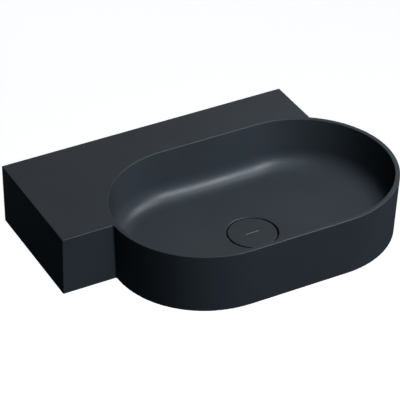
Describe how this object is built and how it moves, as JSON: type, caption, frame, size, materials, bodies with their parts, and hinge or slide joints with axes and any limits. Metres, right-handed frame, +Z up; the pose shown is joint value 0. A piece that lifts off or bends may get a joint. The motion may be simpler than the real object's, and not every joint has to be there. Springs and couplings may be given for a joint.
{
  "type": "wall-hung washbasin",
  "caption": "Wall-hung basin in satin black ceramic with a rectangular side deck, an obround bowl, a push-open waste under a flush ceramic cover, and hanger-bolt fixing.",
  "frame": {"origin": "midway between the two hanger bolts, on the wall's plane, at half the basin's height; the waste's axis is in the plane x = 0", "axes": "+X to the right along the wall, +Y into the wall, +Z up; the bowl faces -Y"},
  "size_m": [0.5999, 0.4699, 0.16],
  "materials": {
    "matt_ceramic": "satin matt black glaze on all that shows; bare grey clay on the back, on the underside's rim and in the hollow below",
    "zinc_plated_steel": "zinc plated",
    "stainless_steel": "fine turned",
    "chromed_brass": "polished",
    "bare_brass": "turned",
    "white_nylon": "moulded",
    "grey_acetal": "moulded",
    "white_acetal": "moulded",
    "black_rubber": "moulded",
    "clear_silicone": "cured bead"
  },
  "bodies": {
    "basin": {"basin": "matt_ceramic", "hanger_bolts": "zinc_plated_steel", "bolt_bushes": "white_nylon", "fixing_washers": "zinc_plated_steel", "fixing_nuts": "zinc_plated_steel", "waste_body": "chromed_brass", "flange_gasket": "black_rubber", "under_gasket": "black_rubber", "slip_washer": "white_nylon", "back_nut": "chromed_brass", "cartridge_housing": "grey_acetal", "cartridge_cap": "grey_acetal", "return_spring": "stainless_steel"},
    "plug": {"drain_cover": "matt_ceramic", "cover_bond": "clear_silicone", "cover_carrier": "stainless_steel", "plug_seal": "black_rubber", "plunger": "bare_brass", "rotor_clip": "stainless_steel"},
    "rotor": {"latch_rotor": "white_acetal"}
  },
  "joints": [
    {"name": "plug_lift", "type": "slide", "parent": "basin", "child": "plug", "axis": [0, 0, 1], "range_m": [-0.0012, 0.008], "deforming": ["return_spring"]},
    {"name": "latch_turn", "type": "hinge", "parent": "plug", "child": "rotor", "pos_m": [0, -0.241, -0.075], "axis": [0, 0, 1], "range_deg": [-6.95, 45.2]}
  ],
  "couplings": [
    {"joint": "latch_turn", "follows": "plug_lift", "rad_per_m": 98.175}
  ]
}
